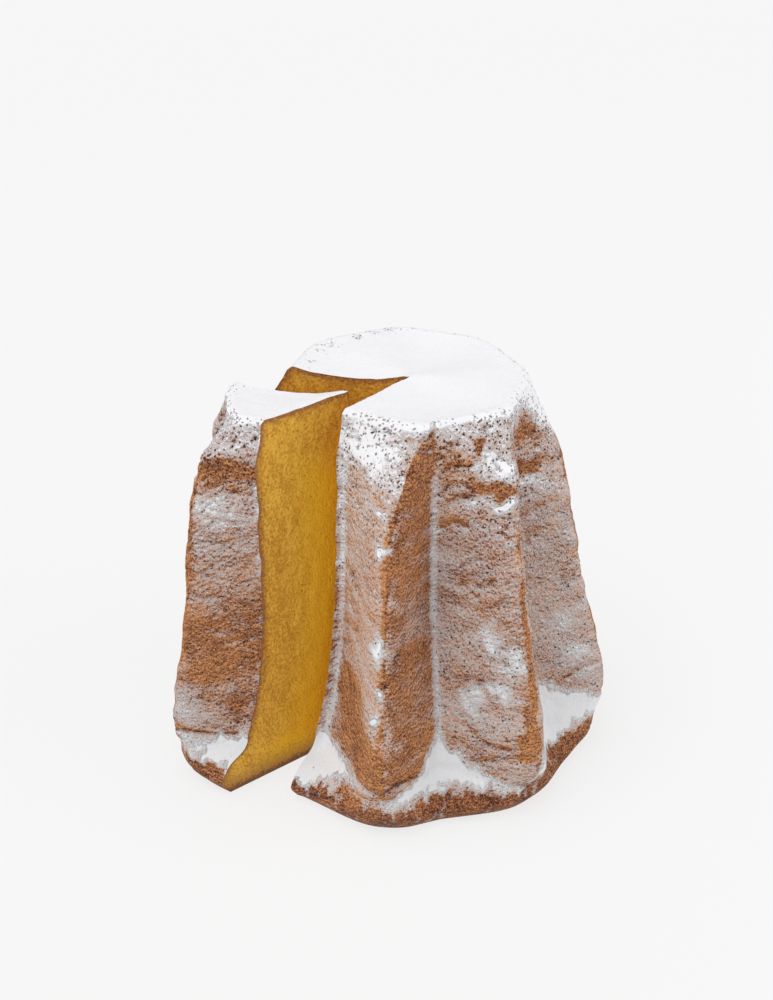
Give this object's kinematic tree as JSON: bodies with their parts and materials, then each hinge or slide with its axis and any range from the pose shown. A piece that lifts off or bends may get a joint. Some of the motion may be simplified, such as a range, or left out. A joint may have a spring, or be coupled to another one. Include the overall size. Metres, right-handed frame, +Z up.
{
  "type": "pandoro",
  "caption": "Tall star-shaped sponge cake dusted with icing sugar, one wedge cut and drawn a little way out of its gap.",
  "frame": {"origin": "middle of the footprint of cake and slice together, on the plane they stand on", "axes": "+Z up along the star's axis; -Y is the side the picture was taken from, with the slice at its left (-X)"},
  "size_m": [0.2206, 0.2092, 0.199],
  "materials": {
    "sugared_crust": "dry baked crust, golden to orange-brown, dusted with white icing sugar, with matt golden-yellow crumb on the cut faces"
  },
  "bodies": {
    "root": {"cake": "sugared_crust", "slice": "sugared_crust"}
  },
  "joints": []
}
